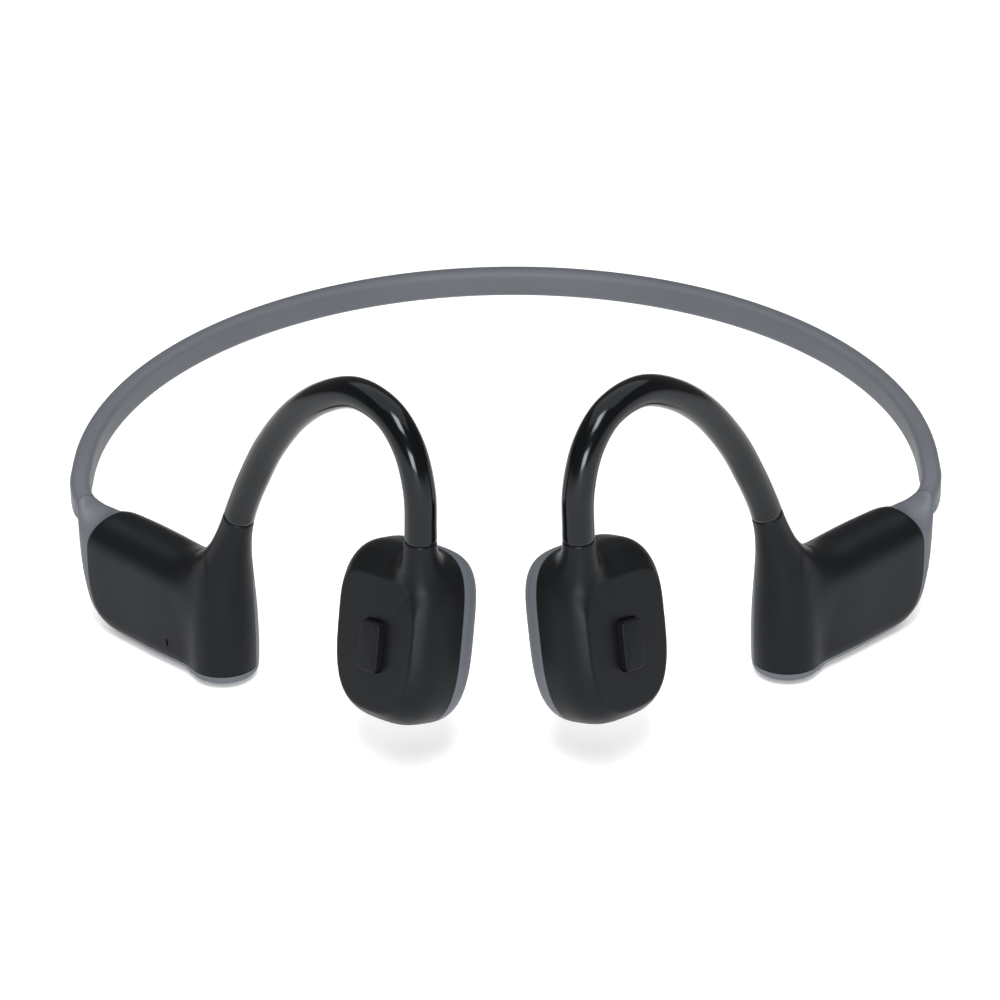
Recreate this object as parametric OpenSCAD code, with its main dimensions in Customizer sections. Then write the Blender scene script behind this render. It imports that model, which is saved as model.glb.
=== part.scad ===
// Bone conduction headphones: a flexible rear band, two behind-ear housings,
// two ear hooks and two transducer pods. Millimetres, +Z up, wearer faces -Y,
// so the wearer's left side is +X. The origin is on the floor plane that the
// housings stand on, under the middle of the whole object.

/* [Rear band] */
// Half width of the band's centreline
band_a = 62.3; // [58:0.2:66]
// Depth of the band's half ellipse
band_b = 48.4; // [47.4:0.2:49.4]
// Rise of the band per millimetre towards the back
band_rise = 0.2; // [0.1:0.01:0.25]
// Band section height
band_h = 4.4; // [4.2:0.1:5]
// Band section thickness
band_t = 3.0; // [2.9:0.1:3.4]

/* [Arms] */
// Angle of each arm inwards from straight ahead
arm_in = 45; // [40:1:47]
// Wall of the housing shells
wall = 1.2; // [1:0.1:1.4]
// Radius of the ear hook's sleeve
hook_r = 2.2; // [2.1:0.05:2.4]

/* [Pods] */
// Half width of a pod
pod_hu = 9.5; // [9.3:0.1:9.7]
// Height of a pod above its middle
pod_top = 11.2; // [10.8:0.1:11.6]
// Depth of a pod below its middle
pod_low = 13.6; // [13.2:0.1:14]
// Length of the function button
button_l = 7.0; // [7:0.1:8]
// Width of the function button
button_w = 3.8; // [3.8:0.1:4.4]
// How far the function button stands proud
button_proud = 1.2; // [1:0.1:1.3]

/* [Colours] */
// Colour of the satin shells
shell_black = "#222427"; // ["#222427", "#303338"]
// Colour of the band and the inner shells
band_grey = "#6b7078"; // ["#6b7078", "#4a6a80"]

/* [Hidden] */
$fn = 48;

// ---- placement ----
y_mid = -1.13;                        // moves the whole object so that its box is centred on the origin
arm_at = [60.3, -y_mid, 19.53];      // where an arm starts: the end of the band
arm_yaw = 270 - arm_in;
band_y0 = 4 - y_mid;                 // centre of the band's ellipse
flex_t = 28.5;                       // angle on the ellipse where an arm starts to swing
pod_c = [65.9, -1.2, 2.5];            // a pod's centre in the arm's own axes: forward, out, up
pod_tilt = 8;                        // a pod's foot is set back by this angle
pod_lean = 20;                       // and its face looks up by this angle

// Wearer's left arm: x forward, y outwards, z up, from the end of the band
module arm() { translate(arm_at) rotate([0, 0, arm_yaw]) children(); }
module arm_right() { mirror([1, 0, 0]) arm() children(); }
module pod() { translate(pod_c) rotate(a = pod_lean, v = [1, -1, 0]) rotate([0, pod_tilt, 0]) children(); }
module out_of_pod() { rotate([0, -pod_tilt, 0]) rotate(a = -pod_lean, v = [1, -1, 0]) translate(-pod_c) children(); }

// ---- helpers ----
function unit(v) = v / norm(v);
function flat(l) = [for (a = l) for (b = a) b];
// Catmull-Rom through the points of p, m steps a span
function cr(p0, p1, p2, p3, t) = 0.5 * (2 * p1 + (p2 - p0) * t + (2 * p0 - 5 * p1 + 4 * p2 - p3) * t * t + (3 * p1 - p0 - 3 * p2 + p3) * t * t * t);
function at(p, s) = let (n = len(p) - 1, i = min(n - 1, max(0, floor(s))), t = s - i)
  cr(i > 0 ? p[i - 1] : 2 * p[0] - p[1], p[i], p[i + 1], i < n - 1 ? p[i + 2] : 2 * p[n] - p[n - 1], t);
function span(p, s0, s1, m) = [for (i = [0 : m]) at(p, s0 + (s1 - s0) * i / m)];
function slope(p, s) = unit(at(p, s + 0.02) - at(p, s - 0.02));
// A rounded rectangle, half sizes a and b, corner radius r, 4*(m+1) points
function rr(a, b, r, m) = [for (c = [0 : 3]) for (i = [0 : m]) let (g = 90 * c + 90 * i / m)
  [((c == 0 || c == 3) ? 1 : -1) * (a - r) + r * cos(g), (c < 2 ? 1 : -1) * (b - r) + r * sin(g)]];
// A closed solid through rings of equal length
module skin(rings) {
  n = len(rings[0]); k = len(rings);
  polyhedron(points = flat(rings), faces = concat(
    [[for (i = [0 : n - 1]) i]],
    [for (j = [0 : k - 2]) for (i = [0 : n - 1]) [j * n + i, (j + 1) * n + i, (j + 1) * n + (i + 1) % n]],
    [for (j = [0 : k - 2]) for (i = [0 : n - 1]) [j * n + i, (j + 1) * n + (i + 1) % n, j * n + (i + 1) % n]],
    [[for (i = [n - 1 : -1 : 0]) (k - 1) * n + i]]));
}
// A tube: outer rings and inner rings
module tube(outer, inner) {
  n = len(outer[0]); k = len(outer); o = n * k; m = len(inner[0]);
  polyhedron(points = concat(flat(outer), flat(inner)), faces = concat(
    [for (i = [0 : n - 1]) [o + i, i, (i + 1) % n]], [for (i = [0 : n - 1]) [o + i, (i + 1) % n, o + (i + 1) % n]],
    [for (j = [0 : k - 2]) for (i = [0 : n - 1]) [j * n + i, (j + 1) * n + i, (j + 1) * n + (i + 1) % n]],
    [for (j = [0 : k - 2]) for (i = [0 : n - 1]) [j * n + i, (j + 1) * n + (i + 1) % n, j * n + (i + 1) % n]],
    [for (j = [0 : k - 2]) for (i = [0 : n - 1]) [o + j * n + i, o + (j + 1) * n + (i + 1) % n, o + (j + 1) * n + i]],
    [for (j = [0 : k - 2]) for (i = [0 : n - 1]) [o + j * n + i, o + j * n + (i + 1) % n, o + (j + 1) * n + (i + 1) % n]],
    [for (i = [0 : n - 1]) [(k - 1) * n + i, o + (k - 1) * n + (i + 1) % n, (k - 1) * n + (i + 1) % n]],
    [for (i = [0 : n - 1]) [(k - 1) * n + i, o + (k - 1) * n + i, o + (k - 1) * n + (i + 1) % n]]));
}
// The shape is kept, and its curves become flats
module as_mesh() { resize([0, 0, 0]) children(); }

// ---- rear band ----
// Point on the centreline: t is the angle from the middle of the back, 90 at the side
function band_p(t) = let (x = band_a * sin(t), y = band_y0 + band_b * cos(t)) [x, y, arm_at[2] + band_rise * (y - arm_at[1])];
// Past 90 degrees the band turns in towards its housing
band_tail = [[62.3, 4.5, 0.9], [62.4, 1.2, -0.15], [61.8, -1.4, -1.25], [60.6, -3.3, -1.7]];
function tail_p(s) = let (p = at(band_tail, s)) [p[0], p[1] - y_mid, p[2] + arm_at[2]];
band_end = 2.29;
function side_line(m1, m2) = concat([for (i = [0 : m1]) band_p(flex_t + 0.1 + (88.5 - flex_t - 0.1) * i / m1)], [for (i = [1 : m2]) tail_p(0.55 + (band_end - 0.55) * i / m2)]);
function tangent(c, i) = unit(c[min(i + 1, len(c) - 1)] - c[max(i - 1, 0)]);
// Rings of section s along the line c: first axis across the band, second axis up the band
function band_rings(c, s, dx = 0, dy = 0) = [for (i = [0 : len(c) - 1]) let (d = tangent(c, i), b = unit([0, 0, 1] - d[2] * d), n = cross(b, d))
  [for (q = s) c[i] + (q[0] + dx) * n + (q[1] + dy) * b]];
band_sec = rr(band_t / 2, band_h / 2, 1.2, 3);
band_core = [for (q = rr(0.75, 1.2, 0.7, 3)) [q[0], q[1] - 0.1]];
// Where the band's cable goes inside a housing, in the arm's axes
route_left = [[1.6, 2.35, -2.5], [2.8, 2.0, -3.3], [5, 1.3, -3.8], [9, 0.7, -3.95], [16, 0.5, -3.95], [23, 0.5, -4.1], [26.6, 0.4, -4.6]];
route_right = [[1.6, 2.35, -2.5], [2.8, 2.1, -3.5], [4.8, 1.7, -5.1], [7.2, 1.3, -6.8], [9.4, 1.15, -7.7], [11.6, 1.1, -7.9]];
function from_arm(p) = [arm_at[0] + p[0] * cos(arm_yaw) - p[1] * sin(arm_yaw), arm_at[1] + p[0] * sin(arm_yaw) + p[1] * cos(arm_yaw), arm_at[2] + p[2]];
function route(l) = [for (p = l) from_arm(p)];
function other(p) = [-p[0], p[1], p[2]];
function back(r) = [for (i = [len(r) - 1 : -1 : 0]) r[i]];
centre_line = [for (i = [-8 : 8]) band_p((flex_t - 0.1) * i / 8)];
tail_line = [for (i = [1 : 5]) tail_p(0.5 * i - 0.02)];
full_line = concat(back([for (p = tail_line) other(p)]), [for (i = [-18 : 18]) band_p(88.5 * i / 18)], tail_line);
module headband_sleeve_centre() color(band_grey) tube(band_rings(centre_line, band_sec), band_rings(centre_line, band_core));
module sleeve_side() color(band_grey) tube(band_rings(side_line(13, 5), band_sec), band_rings(side_line(13, 5), band_core));
module headband_wire() color("silver") skin(band_rings(full_line, hexagon(0.45), 0, 0.5));
function hexagon(r) = [for (i = [0 : 5]) [r * cos(60 * i), r * sin(60 * i)]];
function sunk(l) = [for (p = l) p - [0, 0, 0.65]];
cable_line = concat(back([for (p = route(route_right)) other(p)]), sunk(full_line), route(route_left));
module headband_cable() color("#303030") skin(band_rings(cable_line, hexagon(0.45)));

// ---- ear hook line, in the arm's axes: forward, up, radius ----
hook = [[28.1, -18.9, 4.4], [28.1, -18.1, 4.95], [28.1, -15, 5.15], [28.3, -10, 5.05], [28.8, -5.5, 4.6], [29.8, -1.5, 3.8], [31.0, 2, 2.95], [32.2, 5.4, hook_r + 0.2],
  [33.9, 9.6, hook_r], [36.6, 14.8, hook_r], [40.4, 21.0, hook_r], [45.8, 27.4, hook_r], [52.0, 32.2, hook_r], [58.6, 34.9, hook_r],
  [64.7, 34.0, hook_r], [68.6, 30.2, hook_r], [70.4, 24.6, hook_r], [70.5, 18.8, hook_r], [70.3, 15.4, hook_r + 0.15], [70.2, 12.0, 2.8], [70.1, 8.6, 3.4]];
hook_s0 = 7.55;   // the housing's stub ends here
hook_s1 = 17.4;   // the pod's stub starts here
function ring_at(s, r, k, f = 1) = let (p = at(hook, s), d = slope([for (q = hook) [q[0], q[1]]], s), o = [0, 1, 0], v = [-d[1], 0, d[0]])
  [for (i = [0 : k - 1]) let (g = 360 * i / k) [p[0], 0, p[1]] + (r == 0 ? p[2] * f : r) * (cos(g) * o + sin(g) * v)];
function hook_rings(s0, s1, m, k, r = 0, less = 0) = [for (i = [0 : m]) let (s = s0 + (s1 - s0) * i / m, p = at(hook, s), d = slope([for (q = hook) [q[0], q[1]]], s), o = [0, 1, 0], v = [-d[1], 0, d[0]], rad = (r == 0 ? p[2] : r) - less)
  [for (j = [0 : k - 1]) let (g = 360 * j / k) [p[0], 0, p[1]] + rad * (cos(g) * o + sin(g) * v)]];
// The same line moved sideways inside the sleeve by dy outwards
function offset_rings(s0, s1, m, k, r, dy) = [for (q = hook_rings(s0, s1, m, k, r)) [for (p = q) p + [0, dy, 0]]];
module hook_sleeve() color("#0b0b0d") tube(hook_rings(hook_s0, hook_s1, 30, 12), hook_rings(hook_s0, hook_s1, 30, 12, 1.25));
// A round line through points given in the arm's axes
function line_rings(c, r, k) = [for (i = [0 : len(c) - 1]) let (d = tangent(c, i), o = unit(cross(abs(d[1]) > 0.9 ? [1, 0, 0] : [0, 1, 0], d)), v = cross(d, o)) [for (j = [0 : k - 1]) let (g = 360 * j / k) c[i] + r * (cos(g) * o + sin(g) * v)]];
module hook_wire() color("silver") skin(offset_rings(6.2, 18.6, 28, 6, 0.45, 0.65));
function hook_line(s0, s1, m, dy) = [for (i = [0 : m]) let (p = at(hook, s0 + (s1 - s0) * i / m)) [p[0], dy, p[1]]];
cable_in = [[28.6, 1.3, -6.4], [28.9, 1.2, -5.0], [29.5, 0.5, -2.6], [30.3, -0.2, -0.2]];
cable_out = [[70.1, -0.9, 10.6], [69.95, -1.2, 9.0], [69.8, -1.5, 7.8]];
module hook_cable() color("#404040") skin(line_rings(concat(cable_in, hook_line(6.2, 18.3, 28, -0.55), cable_out), 0.48, 6));

// ---- housing body, in the arm's axes ----
// [forward, sideways, turn, bottom, top, half thickness]
house = [[0.93, 2.3, 8, -3.67, 0.73, 1.5], [1.6, 2.2, 6, -5.6, 0.1, 2.1], [2.3, 1.8, 3, -9.6, -0.75, 3.0], [3.1, 1.3, 0, -13.4, -1.35, 3.8], [4.3, 0.9, 0, -16.6, -1.7, 4.3],
  [6.2, 0.5, 0, -18.4, -1.4, 4.7], [9.0, 0.2, 0, -19.2, -1.5, 4.9], [13, 0, 0, -19.5, -1.6, 5.0], [18, 0, 0, -19.5, -1.7, 5.0], [23, 0, 0, -19.4, -1.9, 4.8], [27.5, 0, 0, -19.2, -2.6, 4.5], [29.5, 0, 0, -18.8, -4.0, 4.0]];
house_n = len(house) - 1;
function house_rings(s0, s1, m, less) = [for (i = [0 : m]) let (p = at(house, s0 + (s1 - s0) * i / m), hn = max(0.5, p[5] - less), lo = p[3] + less, hi = p[4] - less, t = min(hn * 0.92, (hi - lo) * 0.48), l = min(hn * 0.62, (hi - lo) * 0.48))
  [for (q = rr2(hn, lo, hi, t, l, 3)) [p[0] - q[0] * sin(p[2]), p[1] + q[0] * cos(p[2]), q[1]]]];
// A closed section: half width, bottom, top, top and bottom corner radii
function rr2(a, lo, hi, t, l, m) = concat(
  [for (i = [0 : m]) let (g = 90 * i / m) [a - t + t * cos(g), hi - t + t * sin(g)]], [for (i = [0 : m]) let (g = 90 + 90 * i / m) [-a + t + t * cos(g), hi - t + t * sin(g)]],
  [for (i = [0 : m]) let (g = 180 + 90 * i / m) [-a + l + l * cos(g), lo + l + l * sin(g)]], [for (i = [0 : m]) let (g = 270 + 90 * i / m) [a - l + l * cos(g), lo + l + l * sin(g)]]);
module house_body(less = 0, s0 = 0) {
  skin(house_rings(s0, house_n, 15, less));
  skin(hook_rings(less > 0 ? 0.55 + less / 4 : 0, hook_s0 + (less > 0 ? 0.5 : 0), 14, 18, 0, less));
}
// What belongs to the outer shell: outwards of the seam, above the bottom rim, forward of a round rear edge
seam_n = -2.1;
rim_w = -17.5;
module outer_zone(g = 0) {
  intersection() {
    difference() {
      translate([0, seam_n + g, rim_w + g]) cube([60, 20, 40]);
      translate([-1, -20, -20]) cube([23 + g, 20.5 + g, 5 + g]);
    }
    translate([0, 0, 0]) rotate([90, 0, 0]) linear_extrude(height = 60, center = true) union() {
      polygon([for (i = [0 : 16]) let (q = 90 + 180 * i / 16, c = cos(q), s = sin(q)) [19.0 + (14.8 - g) * sign(c) * pow(abs(c), s > 0 ? 2 / 3 : 2 / 2.5), -9.3 + (s > 0 ? 12.2 - g * 0.5 : 11) * sign(s) * pow(abs(s), s > 0 ? 2 / 3 : 2 / 2.5)]]);
      translate([19.0, -30]) square([30, 60]);
    }
  }
  // all round the stub that carries the ear hook
  translate([24 + g, -10, -3.5 + g]) cube([30, 20, 30]);
}
module stub_bore() skin(hook_rings(5.4, hook_s0 + 1, 6, 10, 1.25));
module house_outer() color(shell_black) as_mesh() difference() {
  intersection() { house_body(0); outer_zone(0.05); }
  house_body(wall, 0);
  stub_bore();
}
module house_inner() color(band_grey) difference() {
  as_mesh() difference() {
    house_body(0);
    house_body(wall, 0.9);
    outer_zone(-0.05);
    // where the band's wire and cable come in
    rotate([0, 0, -arm_yaw]) translate(-arm_at) skin(band_rings([for (i = [0 : 5]) tail_p(2.2 + 0.09 * i)], band_core));
    skin(line_rings([[1.2, 2.35, -2.1], [1.6, 2.35, -2.5], [2.8, 2.05, -3.35], [4.2, 1.6, -3.9]], 0.75, 8));
  }
}
module house_seal() color("#15161a") as_mesh() intersection() {
  difference() { house_body(wall + 0.05, 0.9); house_body(wall + 0.75, 0.9); }
  translate([8.2, seam_n - 0.6, -9]) cube([15.6, 1.2, 7.4]);
}

// ---- pod body, in the pod's own axes ----
function se(a, b, p, q) = let (c = cos(q), s = sin(q)) [a * sign(c) * pow(abs(c), 2 / p), b * sign(s) * pow(abs(s), 2 / p)];
function pod_ring(less, n, k = 32, up = 0) = [for (i = [0 : k - 1]) let (q = 360 * (i + 0.5) / k, e = se(1, 1, q < 180 ? 4 : 3, q))
  [e[0] * (pod_hu - less), n, e[1] > 0 ? e[1] * (pod_top - less - up) : e[1] * (pod_low - less)]];
pod_out = 5.8;   // outer face
pod_in = -5.8;   // contact side
pod_seam = -0.4;
// [out, inset from the widest outline, and how much more at the top]
pod_prof_o = [[-1.35, 0, 0], [1.2, 0.05, 0.1], [2.8, 0.3, 0.4], [4.1, 0.8, 0.9], [5.0, 1.4, 1.4], [5.8, 2.1, 1.8]];
pod_prof_i = [[-1.45, 0], [-2.6, 0.1], [-3.8, 0.5], [-4.8, 1.25], [-5.5, 2.3], [-5.8, 3.2]];
module pod_outer_skin(less = 0) skin([for (p = less > 0 ? concat([[-2, 0, 0]], [for (q = pod_prof_o) if (q[0] < pod_out - less) q], [[pod_out - less, 2.0 - less * 0.2, 1.6]]) : pod_prof_o) back(pod_ring(p[1] + less, p[0], 32, p[2]))]);
module pod_inner_skin(less = 0) skin([for (p = less > 0 ? concat([[-0.8, 0.0]], [for (q = pod_prof_i) if (q[0] > pod_in + less) q], [[pod_in + less, 2.6 - less * 0.2]]) : pod_prof_i) pod_ring(p[1] + less, p[0])]);
module stadium(l, w, h) linear_extrude(height = h) hull() { translate([0, l / 2 - w / 2]) circle(w / 2); translate([0, -l / 2 + w / 2]) circle(w / 2); }
// rounded slab: x size, z size, radius, between y0 and y1
module slab(x, z, r, y0, y1) translate([0, y1, 0]) rotate([90, 0, 0]) linear_extrude(height = y1 - y0) { square([x - 2 * r, z], center = true); square([x, z - 2 * r], center = true); for (a = [-1, 1]) for (b = [-1, 1]) translate([a * (x / 2 - r), b * (z / 2 - r)]) circle(r); }
button_at = [0.1, -2.4];
module pod_outer() pod() color(shell_black) as_mesh() difference() {
  union() {
    pod_outer_skin();
    intersection() {
      out_of_pod() skin(hook_rings(hook_s1, 20, 9, 18));
      translate([-20, -0.35, -2]) cube([40, 20, 40]);
    }
    intersection() {
      out_of_pod() skin(hook_rings(hook_s1, 20, 9, 18));
      translate([-20, -10, pod_top - 0.5]) cube([40, 20, 40]);
    }
  }
  pod_outer_skin(1.1);
  // the flat face stays flat beside the stub
  skin([for (y = [pod_out, pod_out + 4]) back(pod_ring(2.1, y, 32, 1.8))]);
  out_of_pod() skin(hook_rings(hook_s1 - 1, 20, 9, 10, 1.25));
  translate([button_at[0], 0, button_at[1]]) slab(button_w + 0.3, button_l + 0.3, 1.3, 3, 8);
}
module pod_inner() pod() color(band_grey) as_mesh() difference() {
  pod_inner_skin();
  pod_inner_skin(1.0);
  translate([0, 0, -1.2]) slab(10.4, 16.4, 4.4, -6, pod_in + 0.5);
}
module contact_pad() pod() color("#3a3d42") translate([0, 0, -1.2]) slab(10.2, 16.2, 4.3, pod_in - 0.25, pod_in + 0.45);
module function_button() pod() color("#26282b") translate([button_at[0], 0, button_at[1]]) {
  slab(button_w, button_l, 1.15, 4.35, pod_out + button_proud);
  slab(button_w + 1.2, button_l + 1.2, 1.4, 3.95, 4.3);
  translate([0, 4.35, 0]) rotate([90, 0, 0]) cylinder(r = 0.8, h = 0.65);
  slab(button_w - 0.6, button_l - 0.6, 0.8, 4.2, 4.5);
}
module button_switch() pod() translate([button_at[0], 0, button_at[1]]) {
  color("#8a6a2a") slab(6.0, 10.5, 0.6, 1.95, 2.2);
  color("silver") slab(3.2, 3.2, 0.3, 2.2, 2.95);
  color("#202020") translate([0, 3.3, 0]) rotate([90, 0, 0]) cylinder(r = 0.75, h = 0.4);
}
// ---- transducer, turned about the pod's y axis ----
drv = [0, 0, -1.6];
module drv_at() pod() translate(drv) rotate([-90, 0, 0]) children();  // z of a child points outwards
module transducer_frame() drv_at() color("#1c1d20") translate([0, 0, -3.95]) difference() {
  cylinder(r = 6.75, h = 5.1);
  translate([0, 0, 0.55]) cylinder(r = 6.2, h = 6);
  translate([0, 0, -1]) cylinder(r = 2.2, h = 3);
}
module voice_coil() drv_at() color("#b5622c") translate([0, 0, -3.4]) difference() { cylinder(r = 4.65, h = 1.9); translate([0, 0, -1]) cylinder(r = 3.75, h = 4); }
module transducer_yoke() drv_at() color("#9a9ca0") translate([0, 0, -2.3]) difference() { cylinder(r = 5.8, h = 3.25); translate([0, 0, -1]) cylinder(r = 5.1, h = 3.7); }
module transducer_magnet() drv_at() color("#5d5f63") translate([0, 0, -1.1]) cylinder(r = 3.2, h = 1.5);
module transducer_pole() drv_at() color("#a8aaae") translate([0, 0, -1.8]) cylinder(r = 3.3, h = 0.7);
module suspension_spring() drv_at() color("#c9b27a") translate([0, 0, 1.15]) difference() {
  cylinder(r = 6.7, h = 0.2);
  for (k = [0 : 2]) for (r = [4.0, 5.1]) rotate([0, 0, 120 * k + (r > 4.5 ? 60 : 0)]) translate([0, 0, -1]) rotate_extrude(angle = 95) translate([r, 0]) square([0.5, 3]);
}
module pod_mic() mirror([1, 0, 0]) arm() pod() translate([3.6, 1.2, -9.9]) { color("#c0a050") cube([3.0, 2.2, 0.3], center = true); color("silver") translate([0, 0, 0.65]) cube([2.6, 1.8, 1.0], center = true); }

// ---- inside the wearer's left housing ----
module battery() arm() color("#b9bec4") translate([17.2, 0, -10.7]) slab(17.0, 11.0, 1.2, -2.55, 2.55);
module battery_board() arm() color("#1f6b3a") translate([27.0, 0, -10.2]) { cube([0.8, 4.4, 9.6], center = true); translate([0.65, 0, 1.4]) cube([0.7, 2.6, 2.4], center = true); }
module battery_foam() arm() color("#2b2b2e") translate([17.2, 0, -10.7]) slab(13, 8.6, 1, 2.6, 3.35);
// ---- inside the wearer's right housing ----
module main_board() arm_right() color("#14532d") difference() {
  translate([18.0, 0, -9.6]) slab(19.4, 12.4, 1.6, -0.5, 0.5);
  for (p = [[10.4, -5.2], [25.8, -5.2]]) translate([p[0], 2, p[1]]) rotate([90, 0, 0]) cylinder(r = 0.65, h = 4);
}
module main_board_screws() arm_right() color("#c4c6c9") for (p = [[10.4, -5.2], [25.8, -5.2]]) translate([p[0], 0, p[1]]) rotate([90, 0, 0]) { translate([0, 0, -1.15]) cylinder(r = 1.1, h = 0.6); translate([0, 0, -0.55]) cylinder(r = 0.6, h = 2.65); }
module radio_shield() arm_right() color("#c9ccd0") translate([17.2, 0, -8.0]) slab(8.4, 6.2, 0.5, 0.5, 1.8);
module board_chips() arm_right() color("#1a1a1c") { translate([24.0, 0, -9.2]) slab(3.4, 3.4, 0.2, 0.5, 1.3); translate([13, 0, -8]) slab(3.0, 2.2, 0.2, -1.2, -0.5); translate([22, 0, -8.6]) slab(4.0, 3.0, 0.2, -1.4, -0.5); translate([17.6, 0, -11.6]) slab(2.0, 1.2, 0.1, -1.1, -0.5); }
volume_u = [13.6, 21.8];
module volume_switches() arm_right() for (x = volume_u) translate([x, -1.35, -14.6]) { color("silver") translate([-1.6, -1.0, -0.9]) cube([3.2, 1.8, 1.9]); color("#202020") translate([0, -0.1, -1.25]) cylinder(r = 0.6, h = 0.4); }
module volume_button(x) arm_right() color("#5a5f66") translate([x, -0.9, 0]) {
  translate([0, 0, -19.4]) rotate([0, 0, 90]) stadium_lin(5.4, 1.8, 1.6);
  translate([0, 0, -17.85]) rotate([0, 0, 90]) stadium_lin(6.4, 2.4, 0.35);
  translate([0, -0.45, -17.55]) cylinder(r = 0.45, h = 1.3);
}
// a slot shape built from exact pieces: length, width, height
module stadium_lin(l, w, h) linear_extrude(height = h) { square([w, l - w], center = true); translate([0, l / 2 - w / 2]) circle(w / 2); translate([0, w / 2 - l / 2]) circle(w / 2); }
module housing_microphone() arm_right() translate([21.3, 1.0, -14.2]) { color("silver") cube([3.0, 1.0, 2.2], center = true); }
module status_light_pipe() arm_right() color("#e8eef4") translate([17.7, -0.9, -19.4]) cylinder(r = 0.55, h = 3.0);
// two flush contact pads on the skin side
contact_w = -9.5;
module charging_contacts() arm_right() color("#d4af37") for (x = [15.2, 20.4]) translate([x, -3.95, contact_w]) rotate([90, 0, 0]) { cylinder(r = 0.8, h = 0.75); translate([0, 0, -2.0]) cylinder(r = 0.45, h = 2.2); }
module charging_magnets() arm_right() color("#8d9094") for (x = [12.0, 23.6]) translate([x, -3.4, contact_w]) rotate([90, 0, 0]) translate([0, 0, -1.0]) cylinder(r = 1.2, h = 1.0);
module house_inner_right() arm_right() color(band_grey) difference() {
  house_inner();
  for (x = volume_u) translate([x, -0.9, -20.5]) rotate([0, 0, 90]) stadium_lin(5.6, 2.0, 2.6);
  translate([17.7, -0.9, -20.5]) cylinder(r = 0.6, h = 3);
  // charging recess with a hole for each contact
  translate([17.8, -4.45, contact_w]) slab(10.4, 5.0, 2.0, -2, 0);
  for (x = [15.2, 20.4]) translate([x, -3, contact_w]) rotate([90, 0, 0]) cylinder(r = 0.85, h = 3);
}
module house_outer_right() arm_right() difference() {
  house_outer();
  // microphone port
  translate([21.3, 6, -15.2]) rotate([90, 0, 0]) cylinder(r = 0.35, h = 4);
}

headband_sleeve_centre();
headband_wire();
headband_cable();
sleeve_side();  // headband_sleeve_left
mirror([1, 0, 0]) sleeve_side();  // headband_sleeve_right
arm() house_outer();  // housing_outer_shell_left
house_outer_right();  // housing_outer_shell_right
arm() house_inner();  // housing_inner_shell_left
house_inner_right();  // housing_inner_shell_right
arm() house_seal();  // housing_seal_left
arm_right() house_seal();  // housing_seal_right
battery();
battery_board();
battery_foam();
main_board();
main_board_screws();
radio_shield();
board_chips();
volume_switches();
volume_button(volume_u[1]);  // volume_up_button
volume_button(volume_u[0]);  // volume_down_button
housing_microphone();
status_light_pipe();
charging_contacts();
charging_magnets();
arm() hook_sleeve();  // ear_hook_sleeve_left
arm_right() hook_sleeve();  // ear_hook_sleeve_right
arm() hook_wire();  // ear_hook_wire_left
arm_right() hook_wire();  // ear_hook_wire_right
arm() hook_cable();  // ear_hook_cable_left
arm_right() hook_cable();  // ear_hook_cable_right
arm() pod_outer();  // pod_outer_shell_left
arm_right() pod_outer();  // pod_outer_shell_right
arm() pod_inner();  // pod_inner_shell_left
arm_right() pod_inner();  // pod_inner_shell_right
arm() contact_pad();  // contact_pad_left
arm_right() contact_pad();  // contact_pad_right
arm() function_button();  // function_button_left
arm_right() function_button();  // function_button_right
arm() button_switch();  // button_switch_left
arm_right() button_switch();  // button_switch_right
arm() transducer_frame();  // transducer_frame_left
arm_right() transducer_frame();  // transducer_frame_right
arm() transducer_yoke();  // transducer_yoke_left
arm_right() transducer_yoke();  // transducer_yoke_right
arm() transducer_magnet();  // transducer_magnet_left
arm_right() transducer_magnet();  // transducer_magnet_right
arm() transducer_pole();  // transducer_pole_plate_left
arm_right() transducer_pole();  // transducer_pole_plate_right
arm() voice_coil();  // voice_coil_left
arm_right() voice_coil();  // voice_coil_right
arm() suspension_spring();  // suspension_spring_left
arm_right() suspension_spring();  // suspension_spring_right
pod_mic();  // pod_microphone
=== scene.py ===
import math

import bmesh
import bpy
import numpy as np
from mathutils import Matrix, Vector
from mathutils.bvhtree import BVHTree


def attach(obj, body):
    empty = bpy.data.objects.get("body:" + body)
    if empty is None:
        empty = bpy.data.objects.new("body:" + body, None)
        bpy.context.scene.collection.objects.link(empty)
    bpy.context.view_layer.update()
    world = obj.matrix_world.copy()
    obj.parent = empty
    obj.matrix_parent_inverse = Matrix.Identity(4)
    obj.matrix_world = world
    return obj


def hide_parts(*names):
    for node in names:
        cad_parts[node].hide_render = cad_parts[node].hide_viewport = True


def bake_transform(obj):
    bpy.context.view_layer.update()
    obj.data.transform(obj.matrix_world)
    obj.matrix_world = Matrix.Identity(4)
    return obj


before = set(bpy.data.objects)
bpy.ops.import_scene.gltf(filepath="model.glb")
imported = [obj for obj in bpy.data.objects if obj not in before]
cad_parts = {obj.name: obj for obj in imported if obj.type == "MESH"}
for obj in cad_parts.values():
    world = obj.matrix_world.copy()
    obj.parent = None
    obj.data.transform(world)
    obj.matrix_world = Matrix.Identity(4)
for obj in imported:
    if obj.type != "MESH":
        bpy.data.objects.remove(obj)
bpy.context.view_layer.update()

# ------------------------------------------------------------------ measures, in millimetres, as in the CAD source
Y_MID = -1.13
J = np.array([60.3, -Y_MID, 19.53])
YAW = math.radians(225)
A, B, RISE = 62.3, 48.4, 0.2
BAND_Y0 = 4 - Y_MID
BAND_T, BAND_H = 3.0, 4.4
HR = 2.2
TAIL = np.array([[62.3, 4.5, 0.9], [62.4, 1.2, -0.15], [61.8, -1.4, -1.25], [60.6, -3.3, -1.7]])
TAIL_END = 2.38
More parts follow.
